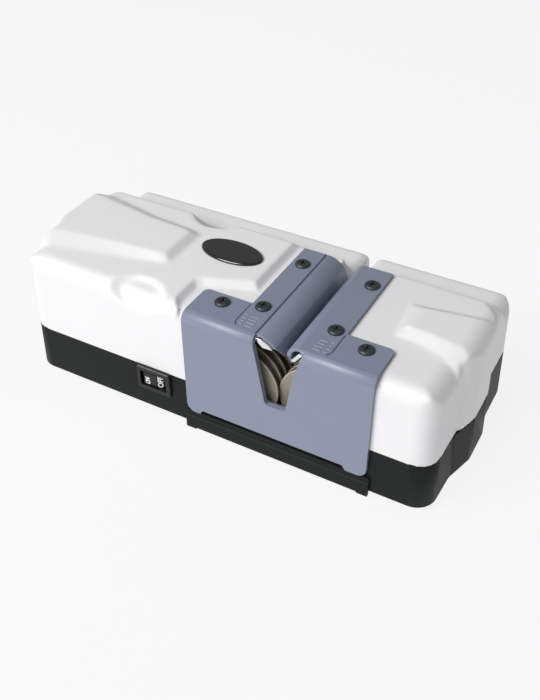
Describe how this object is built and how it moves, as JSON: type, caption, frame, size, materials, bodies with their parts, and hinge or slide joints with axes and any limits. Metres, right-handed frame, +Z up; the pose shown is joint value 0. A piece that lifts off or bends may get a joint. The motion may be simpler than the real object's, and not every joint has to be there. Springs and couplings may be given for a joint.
{
  "type": "electric knife sharpener",
  "caption": "Countertop electric knife sharpener with a moulded casing, a bent sheet guide plate over interleaved grinding discs, a rocker switch and a pull-out swarf tray.",
  "frame": {"origin": "Centre of the body's footprint, on the surface that the rubber feet stand on.", "axes": "+X along the body to the right as seen from the front, +Y to the back, +Z up."},
  "size_m": [0.2914, 0.1328, 0.0955],
  "materials": {
    "white_plastic": "satin moulded ABS",
    "black_plastic": "fine-grained moulded ABS",
    "painted_sheet": "satin powder coat",
    "screw_black": "black oxide",
    "bright_steel": "polished",
    "disc_abrasive": "ground, abrasive-coated",
    "spindle_steel": "turned",
    "spacer_aluminium": "turned",
    "gear_nylon": "moulded nylon",
    "plate_steel": "zinc-plated",
    "bronze": "machined",
    "cast_aluminium": "die-cast",
    "shield_plastic": "moulded",
    "pulley_aluminium": "turned",
    "belt_rubber": "moulded",
    "ferrite": "sintered ferrite",
    "rotor_steel": "laminated and wound",
    "fastener_steel": "zinc-plated",
    "badge_gloss": "domed gloss black",
    "switch_black": "moulded nylon",
    "foot_rubber": "moulded",
    "wire_sleeve": "smooth sleeve"
  },
  "bodies": {
    "casing": {"badge_plate": "badge_gloss", "base_housing": "black_plastic", "case_screws": "fastener_steel", "cord_gland": "foot_rubber", "drive_belt": "belt_rubber", "dust_shields": "shield_plastic", "front_bearing_plate": "plate_steel", "front_bushes": "bronze", "guide_hood": "painted_sheet", "guide_plate": "painted_sheet", "head_screws": "fastener_steel", "hood_liner": "bright_steel", "inner_wires": "wire_sleeve", "lip_liner": "bright_steel", "motor_can": "plate_steel", "motor_end_bell": "cast_aluminium", "motor_magnets": "ferrite", "motor_saddle": "shield_plastic", "motor_screws": "fastener_steel", "plate_screws": "screw_black", "rear_bearing_block": "cast_aluminium", "rear_bearings": "spindle_steel", "rubber_feet": "foot_rubber", "switch_housing": "switch_black", "switch_terminals": "bronze", "top_cover": "white_plastic"},
    "left_drive": {"left_spindle": "spindle_steel", "left_spacers": "spacer_aluminium", "left_retaining_ring": "spindle_steel", "left_spindle_gear": "gear_nylon", "left_grinding_disc_1": "disc_abrasive", "left_grinding_disc_2": "disc_abrasive", "left_grinding_disc_3": "disc_abrasive", "left_grinding_disc_4": "disc_abrasive", "left_grinding_disc_5": "disc_abrasive", "left_grinding_disc_6": "disc_abrasive", "left_grinding_disc_7": "disc_abrasive", "left_grinding_disc_8": "disc_abrasive", "left_grinding_disc_9": "disc_abrasive", "driven_pulley": "pulley_aluminium"},
    "right_drive": {"right_spindle": "spindle_steel", "right_spacers": "spacer_aluminium", "right_retaining_ring": "spindle_steel", "right_spindle_gear": "gear_nylon", "right_grinding_disc_1": "disc_abrasive", "right_grinding_disc_2": "disc_abrasive", "right_grinding_disc_3": "disc_abrasive", "right_grinding_disc_4": "disc_abrasive", "right_grinding_disc_5": "disc_abrasive", "right_grinding_disc_6": "disc_abrasive", "right_grinding_disc_7": "disc_abrasive", "right_grinding_disc_8": "disc_abrasive", "right_grinding_disc_9": "disc_abrasive"},
    "motor_drive": {"motor_rotor": "rotor_steel", "motor_fan": "shield_plastic", "motor_pulley": "pulley_aluminium"},
    "tray": {"swarf_tray": "black_plastic", "tray_magnet": "ferrite"},
    "rocker": {"switch_rocker": "switch_black"}
  },
  "joints": [
    {"name": "left_spindle_spin", "type": "hinge", "parent": "casing", "child": "left_drive", "pos_m": [0.0139, 0, 0.047], "axis": [0, 1, 0], "continuous": true},
    {"name": "right_spindle_spin", "type": "hinge", "parent": "casing", "child": "right_drive", "pos_m": [0.0649, 0, 0.047], "axis": [0, 1, 0], "continuous": true},
    {"name": "motor_spin", "type": "hinge", "parent": "casing", "child": "motor_drive", "pos_m": [-0.075, 0, 0.047], "axis": [0, 1, 0], "continuous": true},
    {"name": "tray_slide", "type": "slide", "parent": "casing", "child": "tray", "axis": [0, -1, 0], "range_m": [0, 0.07]},
    {"name": "switch_rock", "type": "hinge", "parent": "casing", "child": "rocker", "pos_m": [-0.0441, -0.0602, 0.0269], "axis": [0, 0, -1], "range_deg": [0, 24]}
  ],
  "couplings": [
    {"joint": "right_spindle_spin", "follows": "left_spindle_spin", "ratio": -1},
    {"joint": "motor_spin", "follows": "left_spindle_spin", "ratio": 2}
  ]
}
